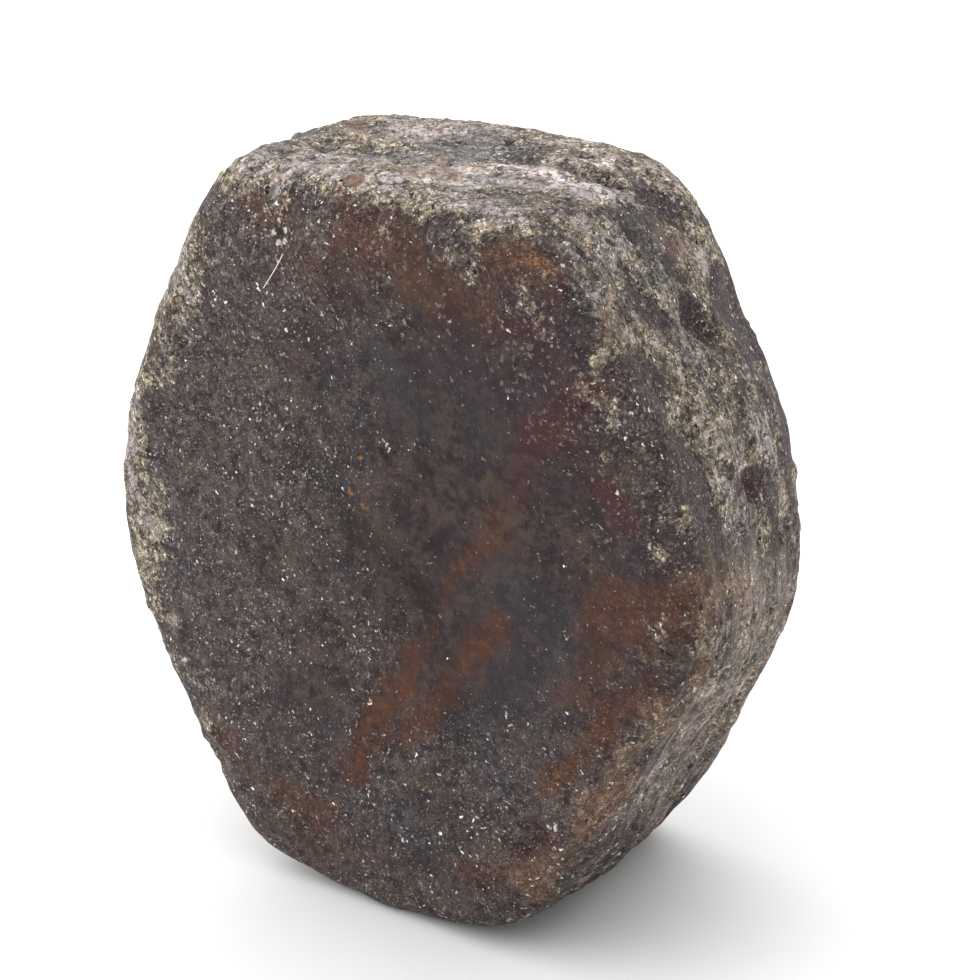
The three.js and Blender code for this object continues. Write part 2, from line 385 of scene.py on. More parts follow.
GARNET_MARKS = [
    ((9.9, -6.2, 5.5), (10.6, -6.2, 5), 0.7, 0.9),
    ((9.5, -6.1, 9.1), (7.1, -6.2, 7), 0.7, 0.7),
    ((7.1, -6.2, 7), (6, -6.2, 4.6), 0.6, 0.5),
    ((8.7, -6.2, 7.2), (9.5, -6.2, 6), 0.7, 0.4),
    ((6.5, -6.2, 10.9), (7.7, -6.2, 9.8), 0.8, 0.5),
    ((7, -5.9, -9), (7.4, -5.9, -8.3), 0.5, 1),
    ((-1.5, -6, -7.4), (-1.4, -6, -7.4), 0.22, 1),
    ((11.3, 0.4, 4.2), (12.1, 0.6, 3.8), 0.6, 0.8),
]

PLUM_MARKS = [
    ((7, -6.2, 10.8), (8, -6.1, 9.2), 1.3, 1),
    ((3.8, -6, 9.4), (5.8, -6, 8.6), 1.4, 0.7),
    ((9.2, -6.2, 7.6), (7.6, -6.2, 5.4), 1, 0.6),
    ((9.7, -6.2, 4.6), (11.6, -6.2, 3.4), 1.1, 0.8),
    ((8.9, -2, 10.7), (8.6, -3.6, 11.3), 0.9, 0.9),
    ((7, 0, 12.7), (7.5, 1, 12.2), 0.9, 0.8),
    ((6.2, 2.4, 13.1), (6.8, 2.8, 12.4), 0.7, 0.9),
    ((8.8, 3.4, 9.3), (9.4, 3.8, 8.4), 0.8, 0.8),
    ((11.8, 0.3, 4.2), (11.8, 1.9, 3.6), 0.7, 0.9),
    ((5, -6, -0.6), (6.6, -6, -1.6), 0.8, 0.6),
    ((-1, -6, -10.8), (0.8, -6, -10.4), 1, 0.8),
    ((-0.5, 6.7, 5.5), (3, 6.7, 9), 1.4, 0.9),  # back
    ((-5, 6.6, 0.5), (-2, 6.7, -2.5), 1.3, 0.8),
    ((4.5, 6.5, -6.5), (1.5, 6.6, -10.5), 1.2, 0.8),
    ((-11.2, 2.5, 4.5), (-11.8, -0.5, 5.5), 1.1, 0.8),  # left
    ((-10.8, 0.5, -4.5), (-10, 3.5, -5.5), 1.2, 0.8),
    ((-9.6, -5.8, 2.4), (-8.8, -5.9, -2.4), 1.1, 0.6),
    ((-2.4, -6, 8.4), (-0.4, -6, 9.6), 1.1, 0.5),
    ((-5.4, -6, -5.4), (-3, -6, -6.8), 1, 0.5),
]

SPARKLE_MARKS = [
    ((-6.5, -5.7, 11.8), (-5.7, -5.6, 13), 0.8, 0.9),
    ((-5.4, -5.4, 13.8), (-2, -5.6, 13.5), 0.8, 1),
    ((-3.4, -5.9, 13), (-2.8, -5.9, 12.6), 0.6, 0.9),
    ((-4.6, -6, 12.1), (-3.4, -6, 11.9), 0.7, 0.9),
    ((-0.9, -6, 4.6), (0.4, -6, 3.9), 0.6, 0.6),
    ((-1.8, -6, 4.4), (-1.4, -6, 4), 0.4, 0.6),
    ((7.8, 2.2, 11), (8.8, 0, 10.4), 0.8, 1),
    ((9.7, 2.2, 8.1), (10.8, 1.8, 6.4), 0.9, 1),
    ((7.2, -2.4, 12.9), (7.7, -1.9, 12.4), 0.6, 0.8),
    ((11.2, -0.8, 5.4), (11.4, 2, 4.2), 0.8, 0.7),
]

# Painted light: crust and ledges are made lighter on the rounded front edge of the top, the left edge of
# the front and the grooved lower right face.
PALE_AND_LIT_MARKS = [
    ((1.2, -1, 14.1), (5.6, -0.4, 13.8), 1, 1),  # front rounding of the top
    ((3.6, 2.2, 13.9), (5, 2.3, 13.7), 0.8, 0.9),
    ((-9.6, -5.7, 5.2), (-10.4, -5.7, 0.6), 0.9, 0.2),
    ((-10.2, -5.7, -0.6), (-8.4, -5.7, -6.4), 0.8, 0.4),
    ((10.3, 1.8, -4.8), (9.2, 0.2, -7.6), 1.5, 1),  # lower right
    ((12.6, -1.8, -0.4), (12.2, -2.8, -1.8), 0.9, 0.9),
    ((12.8, -2.4, 1.6), (12.9, -1.4, 0.4), 0.9, 0.5),
    ((11, -3, -4.2), (10.4, -3.9, -5.6), 0.8, 0.8),
    ((11.6, 0.2, 5.6), (11.9, 0.8, 3.6), 0.8, 0.6),
]

# Painted shade in the hollows and pits of the top, in the valley that crosses the front, and in small pits.
SHADE_MARKS = [
    ((-3.3, -3, 14.2), (-2.3, -2.7, 14.2), 0.4, 1),
    ((4.3, 0.5, 13.9), (5.1, 1.1, 13.8), 0.4, 1),
    ((-3.3, -6, 3.9), (2, -6, -0.2), 0.7, 0.8),  # the valley that crosses the front
    ((2, -6, -0.2), (4.3, -6, -5.5), 0.7, 0.4),
    ((7, -6, -9), (7.4, -6, -8.4), 0.35, 0.7),
    ((-3.6, -6, 12.1), (-3.5, -6, 12.2), 0.3, 1),
    ((7.4, -2.3, 12.8), (7.5, -2.1, 12.7), 0.25, 1),
    ((7.4, -4.3, 13), (7.6, -4.1, 12.9), 0.3, 0.9),
    ((0.9, -6.1, 4.7), (1.1, -6.1, 4.6), 0.2, 1),
    ((-3.9, -6, -4), (-3.8, -6, -4), 0.2, 0.8),
]

SANDY_MARKS = [
    ((-5.2, -5.2, 13.9), (-2.4, -5, 14.1), 0.9, 0.15),
    ((-1.4, -5.4, 13.9), (5, -5, 14), 0.8, 0.35),
    ((3, -2.4, 14.1), (5.4, -0.7, 13.9), 1, 0.5),
    ((11.3, -0.5, 6), (11.6, -0.1, 5.1), 0.8, 0.6),
    ((12.4, -1.9, 3.9), (12.5, -1.5, 3.2), 0.7, 0.4),
    ((6.1, 0.9, 13.5), (6.3, 1.4, 13.3), 0.8, 0.4),
    ((7.6, 1.2, 11.7), (8, 2.9, 10.7), 0.8, 0.35),
    ((9.4, -5, 10.4), (8.9, -4.2, 11.2), 0.8, 0.4),
    ((8.4, 0.1, 10.8), (8.9, -0.4, 10.2), 0.6, 0.2),
    ((10.5, -1.9, 7.9), (10.8, -3.3, 7.7), 0.8, 0.35),
    ((9.7, 2.2, 8.1), (10.1, 1.4, 7.5), 0.8, 0.35),
    ((10.5, 2.1, 6.7), (11.2, 1.7, 5.1), 0.8, 0.35),
    ((11.5, 2.4, 3.9), (11.7, 2.6, 2.6), 0.7, 0.4),
    ((12.9, -2.4, 1.6), (12.6, -1.2, 0.6), 0.9, 0.5),
    ((12.4, -5.3, 4.9), (12.6, -5.1, 4.4), 0.5, 0.5),
    ((13, -4.9, 0.4), (11.5, -5.2, -2.4), 0.7, 0.5),
    ((11.3, -5.1, -2.8), (8.6, -5.3, -7.6), 0.7, 0.4),
    ((-3.9, -4.4, 14.2), (-0.4, -0.6, 14.2), 0.6, 0.4),
    # These three lay crust along the left rim and also paint the rim's sheen.
    ((-8, -5.2, 10.6), (-10.7, -5.3, 3.4), 1.2, 0.5),
    ((-10.8, -5.3, 2.6), (-9.8, -5.3, -4.6), 1.2, 0.5),
    ((-9.6, -5.2, -5.2), (-7.8, -5.2, -8.4), 0.9, 0.35),
]

BARE_MARKS = [
    ((6.3, 2.3, 13.1), (6.8, 2.9, 12.4), 0.6, 0.9),
    ((8, 0.6, 11.1), (8.2, 1, 10.9), 0.4, 0.8),
    ((8.7, 3.2, 9.4), (9.6, 4, 8.2), 0.9, 0.9),
    ((8.6, -2.2, 10.9), (9, -1.7, 10.4), 0.6, 0.8),
    ((8.9, 0.6, 9.8), (9.4, 1.4, 8.9), 0.5, 0.8),
    ((6.9, -0.2, 12.8), (7.5, 1, 12.2), 0.9, 1),
    ((7.8, -5.9, 12), (8.5, -6, 10.8), 0.8, 0.5),
    ((8.8, -6.1, 9.6), (9.2, -6.1, 7.9), 0.9, 0.2),
    ((9.9, -5.3, 9.3), (10.3, -3.6, 8.5), 0.9, 0.5),
    ((10.6, -5.2, 7.9), (12, -4.6, 5.6), 1.2, 0.6),
    ((12.5, -4.8, 5), (12.8, -4, 3), 0.8, 0.5),
    ((11.8, 0.3, 4.2), (11.8, 1.9, 3.6), 0.6, 0.9),
]

LEDGE_MARKS = [
    ((9.6, 4.2, -6.2), (8.4, 4.2, -8.3), 1.7, 0.7),
    ((8.5, 2.9, -8.5), (7.6, 2.4, -9.9), 1.6, 0.7),
    ((7.4, 1, -10.4), (6.8, 0.6, -11.2), 1.4, 0.6),
    ((12.6, -1.4, 0.6), (11.8, 2.4, -1.2), 1.7, 1),
    ((12.2, -1, -1.6), (11.4, -3, -3.4), 1.7, 1),
    ((11.6, 2, -2.2), (10.6, 3.4, -3.8), 1.6, 0.8),
    ((11.2, 0.4, -3.4), (10.2, -3.2, -5.4), 1.6, 0.9),
    ((9.8, -2.2, -6.4), (9.2, -4, -7), 1.1, 0.7),
    ((10.5, 1.9, -4.8), (9.2, 0.4, -7.6), 1.9, 0.9),
    ((10.3, -1.2, -5.4), (9.3, -2.4, -7.4), 1.4, 0.7),
]

MARKS = dict(
    rust=RUST_MARKS, ochre=OCHRE_MARKS, tan=TAN_MARKS, slate=SLATE_MARKS, garnet=GARNET_MARKS,
    plum=PLUM_MARKS, sparkle=SPARKLE_MARKS, pale=PALE_AND_LIT_MARKS, dark=SHADE_MARKS, sandy=SANDY_MARKS,
    bare=BARE_MARKS, ledge=LEDGE_MARKS,
)

# Small marks on the front: place from the centre, radius.
# The pit dots are painted shade in small pits.
PIT_DOTS = [
    ((-3.6, -6, 12.1), 0.18),
    ((-3.45, -6, 12.35), 0.12),
    ((-3.75, -6, 12.3), 0.1),
    ((0.75, -6.1, 4.95), 0.12),
    ((0.9, -6.1, 4.8), 0.14),
    ((1.2, -6.1, 5), 0.08),
    ((-3.85, -6, -4), 0.16),
    ((7.45, -2.2, 12.75), 0.25),
    ((7.5, -4.2, 12.95), 0.28),
]

AMBER_DOTS = [
    ((-0.15, -6, 2.7), 0.16),
    ((0, -6, 2.7), 0.14),
    ((1.3, -6.1, 2.5), 0.11),
    ((-0.7, -6, 3.1), 0.16),
    ((-0.2, -6.1, 4.5), 0.12),
]

PALE_DOTS = [
    ((0.4, -6.1, 5.75), 0.05),
    ((0.5, -6.1, 5.6), 0.07),
    ((0.62, -6.1, 5.45), 0.09),
    ((0.74, -6.1, 5.32), 0.09),
    ((0.88, -6.1, 5.2), 0.1),
    ((1, -6.1, 5.05), 0.07),
    ((-3.85, -6, 12.05), 0.14),
    ((-3.3, -6, 11.85), 0.16),
    ((-3.6, -6, 11.7), 0.16),
    ((-3.3, -6, 12.25), 0.12),
    ((-3.6, -6, 12.5), 0.12),
    ((7.6, -6, -7.65), 0.16),
    ((7.9, -5.9, -7.55), 0.2),
    ((8.2, -5.7, -7.7), 0.14),
]

SMALL_MARKS = dict(pit=PIT_DOTS, amber=AMBER_DOTS, pale=PALE_DOTS)

MARK_WANDER = 0.8  # how far the outlines of marks wander, in millimetres
MARK_FADE = 1.5  # the fade ends this many radii away

CRUST_HEIGHT = 0.05
CRUST_LUMPS = 0.075
FROSTING_HEIGHT = 0.03
GRIT_HEIGHT = 0.02
LEDGE_HEIGHT = 0.12
TOP_LEDGE_HEIGHT = 0.04
PIT_DEPTH = 0.18
PIT_SPACING = 0.9
PIT_OUTLINE_WANDER = 0.16
FLAT_ALONG_LEDGES = np.array([0.05, 1, 0.05])  # noise that is stretched across the crystal's axis
FLAT_ON_TOP = np.array([0.2, 1, 0.2])


def face_share(weights, *names):
    return sum(weights[:, FACE_NAMES.index(name)] for name in names)


def marked(points, kind):
    """How strongly each point is marked, with soft and wandering edges."""
    wander = np.stack([layered_noise(points, size=1, layers=4, seed=60 + k) for k in range(3)], axis=1)
    strength = np.zeros(len(points))
    for start, end, radius, most in MARKS[kind]:
        moved = points + wander * MARK_WANDER * min(radius, 1)
        nearness = bowl(line_distance(moved, start, end), radius * MARK_FADE) ** 0.7
        strength = np.maximum(strength, most * nearness)
    return strength * (1 + 0.45 * layered_noise(points, size=0.7, layers=3, seed=65)).clip(0.2, 1)


geodesic, triangles = ball(BALL_FREQUENCY)
directions = geodesic * np.array([1, BALL_FLATTENING, 1])
directions /= np.linalg.norm(directions, axis=1, keepdims=True)
form, weights, broad = worn_surface(directions)
normals = weights @ NORMALS
normals /= np.linalg.norm(normals, axis=1, keepdims=True)

on_front = face_share(broad, "front")
striated = face_share(weights, "lower right", "lower front bevel", "bottom right corner")
edge = 1 - weights.max(1)
marks = {kind: marked(form, kind) for kind in MARKS}

hollows = hollow_depth(form)
grooves = groove_depth(form, normals)
height = unevenness(form) - hollows - grooves

# Sandy crust lies on most faces in patches, and stands a little above the bare skin.
cover = broad @ np.array([CRUST_COVER[name] for name in FACE_NAMES])
patches = 0.3 * layered_noise(form, size=1.9, layers=2, seed=71)
patches += 0.42 * layered_noise(form, size=0.75, layers=3, seed=74)
patches *= smooth_step(cover, 0.02, 0.25)
crust = np.clip(cover + patches + marks["sandy"] - marks["bare"] - 0.3 * on_front * marks["rust"], 0, 1)
crusted = smooth_step(crust, 0.45, 0.65)
height += crusted * (CRUST_HEIGHT + CRUST_LUMPS * layered_noise(form, size=0.5, layers=2, seed=21))

# Pale grit is thick on the left and the foot of the front and on the other faces, and thin elsewhere.
gritty = np.maximum(smooth_step(form[:, 0], 5.5, -8), 0.65 * smooth_step(form[:, 2], -1.5, -8))
grit = on_front * (0.06 + 0.94 * gritty) + (1 - on_front) * 0.8
grit *= 1 - 0.75 * on_front * marks["rust"]
grit *= 1 + 0.5 * layered_noise(form, size=2.6, layers=2, seed=81)
grit = np.clip(grit + 0.1 * striated, 0, 1)

# Single crumbs lie on the front near its upper edges.
strewn = smooth_step(face_share(broad, "upper right", "top", "top left corner"), 0.02, 0.24)

# Lumpy, worn frosting all over.
height += FROSTING_HEIGHT * layered_noise(form, size=1.1, layers=3, seed=11)
height += GRIT_HEIGHT * grit * noise(form, size=0.35, seed=12)

# Small pits, more of them and deeper where the crust is.
wander = np.stack([noise(form, size=0.4, seed=35 + k) for k in range(3)], axis=1)
pit_distance, pit_number = spots(form + PIT_OUTLINE_WANDER * wander, PIT_SPACING, seed=31)
pit = bowl(pit_distance, 0.12 + 0.3 * pit_number) * (pit_number > 0.4)
pit *= np.clip(0.12 * grit + crusted + 0.3 * edge, 0, 1)
height -= pit * PIT_DEPTH

# Fine ledges along the striated faces, and faint ones on the top.
ledges = layered_noise(form * FLAT_ALONG_LEDGES, size=0.42, layers=3, seed=41)
height += striated * LEDGE_HEIGHT * (smooth_step(ledges, -0.2, 0.2) + 0.4 * ledges)
top_ledges = layered_noise(form * FLAT_ON_TOP, size=0.4, layers=2, seed=51)
height += face_share(weights, "top") * TOP_LEDGE_HEIGHT * top_ledges

skin = form + normals * height[:, None] + CENTRE
skin[:, 2] = np.maximum(skin[:, 2], 0)
# Painted shade in the pits and hollows; the same mask also draws more grains there.
cavity_shade = np.clip(pit * 1.2 + hollows * 0.5, 0, 1)


def add_value(mesh, name, values):
    mesh.attributes.new(name, "FLOAT", "POINT").data.foreach_set("value", values.astype(np.float32))


def make_mesh(name, points, faces, smooth=True):
    """A mesh of triangles from points in millimetres."""
    mesh = bpy.data.meshes.new(name)
    mesh.vertices.add(len(points))
    mesh.vertices.foreach_set("co", (points * MM).astype(np.float32).ravel())
    mesh.loops.add(len(faces) * 3)
    mesh.loops.foreach_set("vertex_index", faces.astype(np.int32).ravel())
    mesh.polygons.add(len(faces))
    mesh.polygons.foreach_set("loop_start", np.arange(0, len(faces) * 3, 3, dtype=np.int32))
    mesh.update(calc_edges=True)
    mesh.validate()
    mesh.polygons.foreach_set("use_smooth", np.full(len(faces), smooth))
    piece = bpy.data.objects.new(name, mesh)
    bpy.context.scene.collection.objects.link(piece)
    return piece


# -------- Materials --------


# How fine the noise is that shifts places in the textures, per mm, and how far it shifts them.
RAGGED = (6.0, 0.3)
WARPED = (1.8, 1.2)
RAGGED_DETAIL = 1.0

LUMP_STRETCH = (1.0, 0.75, 1.0)
DASH_STRETCH = (0.3, 1.0, 0.3)
ALONG_LEDGES = (0.06, 1.0, 0.06)

# Shifts that make a second texture differ from the first one.
ARC_OFFSET = (7.3, 1.9, 4.4)
VIOLET_OFFSET = (3.7, 9.1, 6.2)
OLIVE_OFFSET = (5.1, 2.7, 8.3)

RUBY_BUMP = 0.12
RUBY_GLOSS = 0.09
RUBY_IOR = 1.76


class Graph:
    """Short names for building one material's nodes. Positions are in millimetres."""

    def __init__(self, name):
        self.material = bpy.data.materials.new(name)
        self.material.use_nodes = True
        self.tree = self.material.node_tree
        self.tree.nodes.clear()
        place = self.add("ShaderNodeTexCoord").outputs["Object"]
        self.place = self.vector("MULTIPLY", place, (1 / MM,) * 3)
        self.ragged = self.wander(*RAGGED)

    def put(self, socket, value):
        if isinstance(value, bpy.types.NodeSocket):
            self.tree.links.new(value, socket)
        else:
            socket.default_value = value

    def add(self, kind, values=(), **settings):
        """A node with its settings, and with values or links in its first sockets or in named ones."""
        node = self.tree.nodes.new(kind)
        for key, value in settings.items():
            setattr(node, key, value)
        sockets = values if isinstance(values, dict) else dict(enumerate(values))
        for key, value in sockets.items():
            self.put(node.inputs[key], value)
        return node

    def wander(self, per_mm, reach):
        """The place, shifted by noise, so that shapes drawn with it get ragged outlines."""
        values = {"Vector": self.place, "Scale": per_mm, "Detail": RAGGED_DETAIL}
        offset = self.add("ShaderNodeTexNoise", values)
        centred = self.vector("SUBTRACT", offset.outputs["Color"], (0.5,) * 3)
        return self.vector("ADD", self.place, self.vector("MULTIPLY", centred, (reach,) * 3))

    def small_marks(self, kind):
        """1 inside the small marks of this kind, and 0 outside them."""
        inside = 0
        for middle, radius in SMALL_MARKS[kind]:
            ends = (self.ragged, tuple(CENTRE + middle))
            away = self.add("ShaderNodeVectorMath", ends, operation="DISTANCE")
            inside = self.most(inside, self.ramp(away.outputs["Value"], radius, radius * 0.6))
        return inside

    def vector(self, operation, a, b):
        return self.add("ShaderNodeVectorMath", (a, b), operation=operation).outputs[0]

    def maths(self, operation, a, b):
        return self.add("ShaderNodeMath", (a, b), operation=operation).outputs[0]

    def times(self, a, b):
        return self.maths("MULTIPLY", a, b)

    def plus(self, a, b):
        return self.maths("ADD", a, b)

    def minus(self, a, b):
        return self.maths("SUBTRACT", a, b)

    def most(self, a, b):
        return self.maths("MAXIMUM", a, b)

    def total(self, *parts):
        """The sum of some numbers, each of them multiplied by its own factor."""
        result, *products = (self.times(number, factor) for number, factor in parts)
        for product in products:
            result = self.plus(result, product)
        return result

    def noise(self, per_mm, detail, roughness, place=None):
        values = {"Vector": place or self.place, "Scale": per_mm, "Detail": detail, "Roughness": roughness}
        return self.add("ShaderNodeTexNoise", values).outputs["Fac"]

    def cells(self, per_mm, place=None):
        """Cells around scattered points: how far the point is, and three random numbers for the cell."""
        cell = self.add("ShaderNodeTexVoronoi", {"Vector": place or self.ragged, "Scale": per_mm})
        numbers = self.add("ShaderNodeSeparateColor", [cell.outputs["Color"]])
        return (cell.outputs["Distance"], *numbers.outputs)

    def lumps(self, per_mm, place):
        """Round lumps, a tone for each of them, and the same lumps as cells for specks."""
        distance, tone, pick, size = self.cells(per_mm, place)
        return self.ramp(distance, 0.1, 0.7, 1, 0), tone, (distance, pick, size, tone)

    def specks(self, cells, low, high, radius):
        """Small spots in the cells whose first number is from low to high. radius is part of a cell."""
        distance, pick, size, tone = cells
        chosen = self.times(self.maths("GREATER_THAN", pick, low), self.maths("LESS_THAN", pick, high))
        reach = self.ramp(size, 0, 1, radius * 0.6, radius)
        inside = self.ramp(self.minus(reach, distance), 0, radius * 0.35)
        strength = self.ramp(tone, 0, 1, 0.3, 1)
        return self.times(chosen, self.times(inside, strength))

    def arcs(self, per_mm, share):
        """Short thin curved lines, from where noise crosses its middle value."""
        line = self.maths("ABSOLUTE", self.minus(self.noise(per_mm, 1, 0.5), 0.5), 0)
        shown = self.noise(per_mm * 1.3, 1, 0.5, self.vector("ADD", self.place, ARC_OFFSET))
        low = self.minus(0.72, share)
        return self.times(self.ramp(line, 0.045, 0.01), self.ramp(shown, low, self.plus(low, 0.04)))

    def value(self, name):
        return self.add("ShaderNodeAttribute", attribute_name=name).outputs["Fac"]

    def ramp(self, value, low, high, start=0, end=1):
        """From start to end while the value goes from low to high, and smoothly."""
        values = (value, low, high, start, end)
        return self.add("ShaderNodeMapRange", values, interpolation_type="SMOOTHSTEP").outputs[0]

    def blend(self, share, a, b):
        """A number between the numbers a and b."""
        return self.mixed("VALUE", (share, a, b), data_type="FLOAT")

    def mix(self, share, a, b, blend="MIX"):
        """A colour between the colours a and b."""
        return self.mixed("RGBA", (share, a, b), data_type="RGBA", blend_type=blend)

    def mixed(self, socket_type, values, **settings):
        node = self.add("ShaderNodeMix", **settings)
        ends = [socket for socket in node.inputs if socket.type == socket_type and socket.name in "AB"]
        for socket, value in zip([node.inputs["Factor"], *ends], values):
            self.put(socket, value)
        return next(socket for socket in node.outputs if socket.type == socket_type)

    def finish(self, colour, roughness, bump_height=None, bump_mm=0.03, gloss=0.5, **fixed):
        values = {"Base Color": colour, "Roughness": roughness, "Specular IOR Level": gloss, **fixed}
        if bump_height is not None:
            bump = self.add("ShaderNodeBump", {"Distance": bump_mm * MM, "Height": bump_height})
            values["Normal"] = bump.outputs[0]
        shader = self.add("ShaderNodeBsdfPrincipled", values)
        self.add("ShaderNodeOutputMaterial", {"Surface": shader.outputs[0]})
        return self.material


def rgb(red, green, blue):
    return (red, green, blue, 1)


# The body's dark colour, also used as painted shade in the gaps between ledges.
DARK_BODY_AND_GAP_SHADE = rgb(0.02, 0.0125, 0.0135)
LIGHT_BODY = rgb(0.06, 0.04, 0.0385)
PLUM = rgb(0.03, 0.0165, 0.023)
OLIVE = rgb(0.066, 0.048, 0.03)
SLATE = rgb(0.034, 0.033, 0.04)
RUST = rgb(0.084, 0.0285, 0.012)
OCHRE = rgb(0.19, 0.092, 0.034)
TAN = rgb(0.245, 0.14, 0.08)
AMBER = rgb(0.23, 0.105, 0.03)
GARNET = rgb(0.058, 0.0155, 0.015)
WISP = rgb(0.23, 0.2, 0.185)
# Dark brown of the dark grains, also used as painted shade in the crust's crevices.
CRUST_DARK_AND_CREVICE_SHADE = rgb(0.04, 0.03, 0.028)
CRUST_BROWN = rgb(0.1, 0.068, 0.048)
CRUST_MAUVE = rgb(0.372, 0.316, 0.308)
CRUST_CREAM = rgb(0.472, 0.372, 0.268)
CRUST_DIM = rgb(0.195, 0.15, 0.136)
CRUST_OLIVE = rgb(0.3, 0.262, 0.18)
CRUST_SLATE = rgb(0.11, 0.116, 0.118)
CRUST_PALE = rgb(0.68, 0.64, 0.57)
STONE_GREY = rgb(0.195, 0.156, 0.137)
# Grey of the ledges, made pale also as painted light on the down-facing lower right face.
LIT_LEDGE_GREY = rgb(0.59, 0.475, 0.412)
# Painted shade: the near-black put into pits, holes, chinks, cracks and hollows.
PIT_SHADE = rgb(0.006, 0.004, 0.004)
GLINT = rgb(0.95, 0.93, 0.88)


class RubyGraph(Graph):
    """The ruby's nodes, with the skin's values and the textures that its layers share. Two layers add
    a number for the layers after them: chinks and ledge."""

    def __init__(self):
        super().__init__("ruby")
        self.grit, self.crust, self.lined = (self.value(name) for name in ("grit", "crust", "lined"))
        self.tan, self.sparkle = self.value("tan"), self.value("sparkle")
        # Painted light: the pale marks lift the brightness of crust and ledges.
        self.lift = self.ramp(self.value("pale"), 0, 1, 1, 1.5)
        self.hue = self.noise(0.55, 3, 0.65)
        self.cloud = self.noise(1.1, 4, 0.65)
        self.blotch = self.noise(3.2, 3, 0.65)
        self.grain = self.noise(9.5, 2, 0.85)
        self.shred = self.noise(2.4, 4, 0.75)
        self.along = self.vector("MULTIPLY", self.place, ALONG_LEDGES)
        self.warped = self.vector("MULTIPLY", self.wander(*WARPED), LUMP_STRETCH)
        across = self.vector("MULTIPLY", self.ragged, LUMP_STRETCH)
        self.coarse, self.coarse_tone, self.coarse_cells = self.lumps(3.6, across)
        self.fine, self.fine_tone, self.fine_cells = self.lumps(8.5, across)
        self.broad_tone, self.small_tone = (self.cells(per_mm, self.warped)[1] for per_mm in (1.3, 3))
        self.patch = self.total((self.broad_tone, 0.5), (self.small_tone, 0.5))
        self.crumb = self.total((self.coarse_tone, 0.35), (self.fine_tone, 0.45), (self.shred, 0.4))
        self.level = self.minus(
            self.total((self.patch, 0.7), (self.crust, 1.3), (self.shred, 0.8), (self.fine_tone, 0.3)), 1.05
        )
        self.crusted = self.ramp(self.level, 0.28, 0.68, 0, 0.95)


def bare_skin(g):
    """Dark and light purplish brown, with olive, plum and slate patches."""
    body = g.total((g.blotch, 0.5), (g.cloud, 0.5))
    colour = g.mix(g.ramp(body, 0.4, 0.6), DARK_BODY_AND_GAP_SHADE, LIGHT_BODY)
    colour = g.mix(g.ramp(g.hue, 0.5, 0.68, 0, 0.45), colour, OLIVE)
    violet = g.noise(0.75, 3, 0.65, g.vector("ADD", g.place, VIOLET_OFFSET))
    plum = g.most(g.times(g.value("plum"), 0.75), g.ramp(violet, 0.52, 0.66, 0, 0.5))
    colour = g.mix(plum, colour, PLUM)
    slate = g.most(g.value("slate"), g.ramp(g.hue, 0.46, 0.32, 0, 0.6))
    return g.mix(g.times(slate, 0.6), colour, SLATE)


def stains(g, colour):
    """Rust with an ochre middle, and crimson."""
    rust = g.mix(g.ramp(g.blotch, 0.52, 0.76, 0, 0.6), RUST, OCHRE)
    stain = g.times(g.value("rust"), g.ramp(g.shred, 0.34, 0.56, 0.3, 1))
    colour = g.mix(g.times(stain, 0.88), colour, rust)
    return g.mix(g.times(g.value("garnet"), 0.85), colour, GARNET)


def haze(g, colour):
    """A thin pale haze, and a few short bright arcs, where there is grit."""
    share = g.times(g.ramp(g.shred, 0.4, 0.66, 0, 0.24), g.ramp(g.grit, 0.1, 0.9))
    colour = g.mix(share, colour, WISP)
    return g.mix(g.arcs(3.4, g.times(g.grit, 0.12)), colour, WISP)


def loose_crumbs(g, colour):
    """Single dim crumbs, and painted shade in small chinks, where the crust thins out."""
    strewn, scattered = g.value("strewn"), g.cells(4.6)
    loose = g.specks(scattered, 0, g.times(strewn, 0.6), 0.5)
    colour = g.mix(g.times(loose, 0.65), colour, CRUST_DIM)
    dark_share = g.most(g.times(strewn, 0.37), g.times(g.sparkle, 0.5))
    g.chinks = g.specks(scattered, g.minus(1, dark_share), 1, 0.45)
    # Painted shade in the chinks.
    return g.mix(g.times(g.chinks, 0.6), colour, PIT_SHADE)


def crust_brightness(g):
    """How light the crust is: darker in ragged patches, and in calm and broad ones on the top."""
    bright = g.total((g.patch, 0.7), (g.crust, 0.75), (g.shred, 0.7))
    calm = g.ramp(g.crust, 0.75, 1)
    bloom = g.blend(g.times(calm, 0.55), g.ramp(g.crumb, 0.2, 0.9, 0.6, 1.3), 1)
    painted = g.blend(calm, 1, g.ramp(g.broad_tone, 0, 1, 0.76, 1.22))
    # The lift is painted light from the pale marks.
    return g.times(g.ramp(bright, 0.7, 1.75, 0.37, 1.57), g.times(g.times(bloom, painted), g.lift))


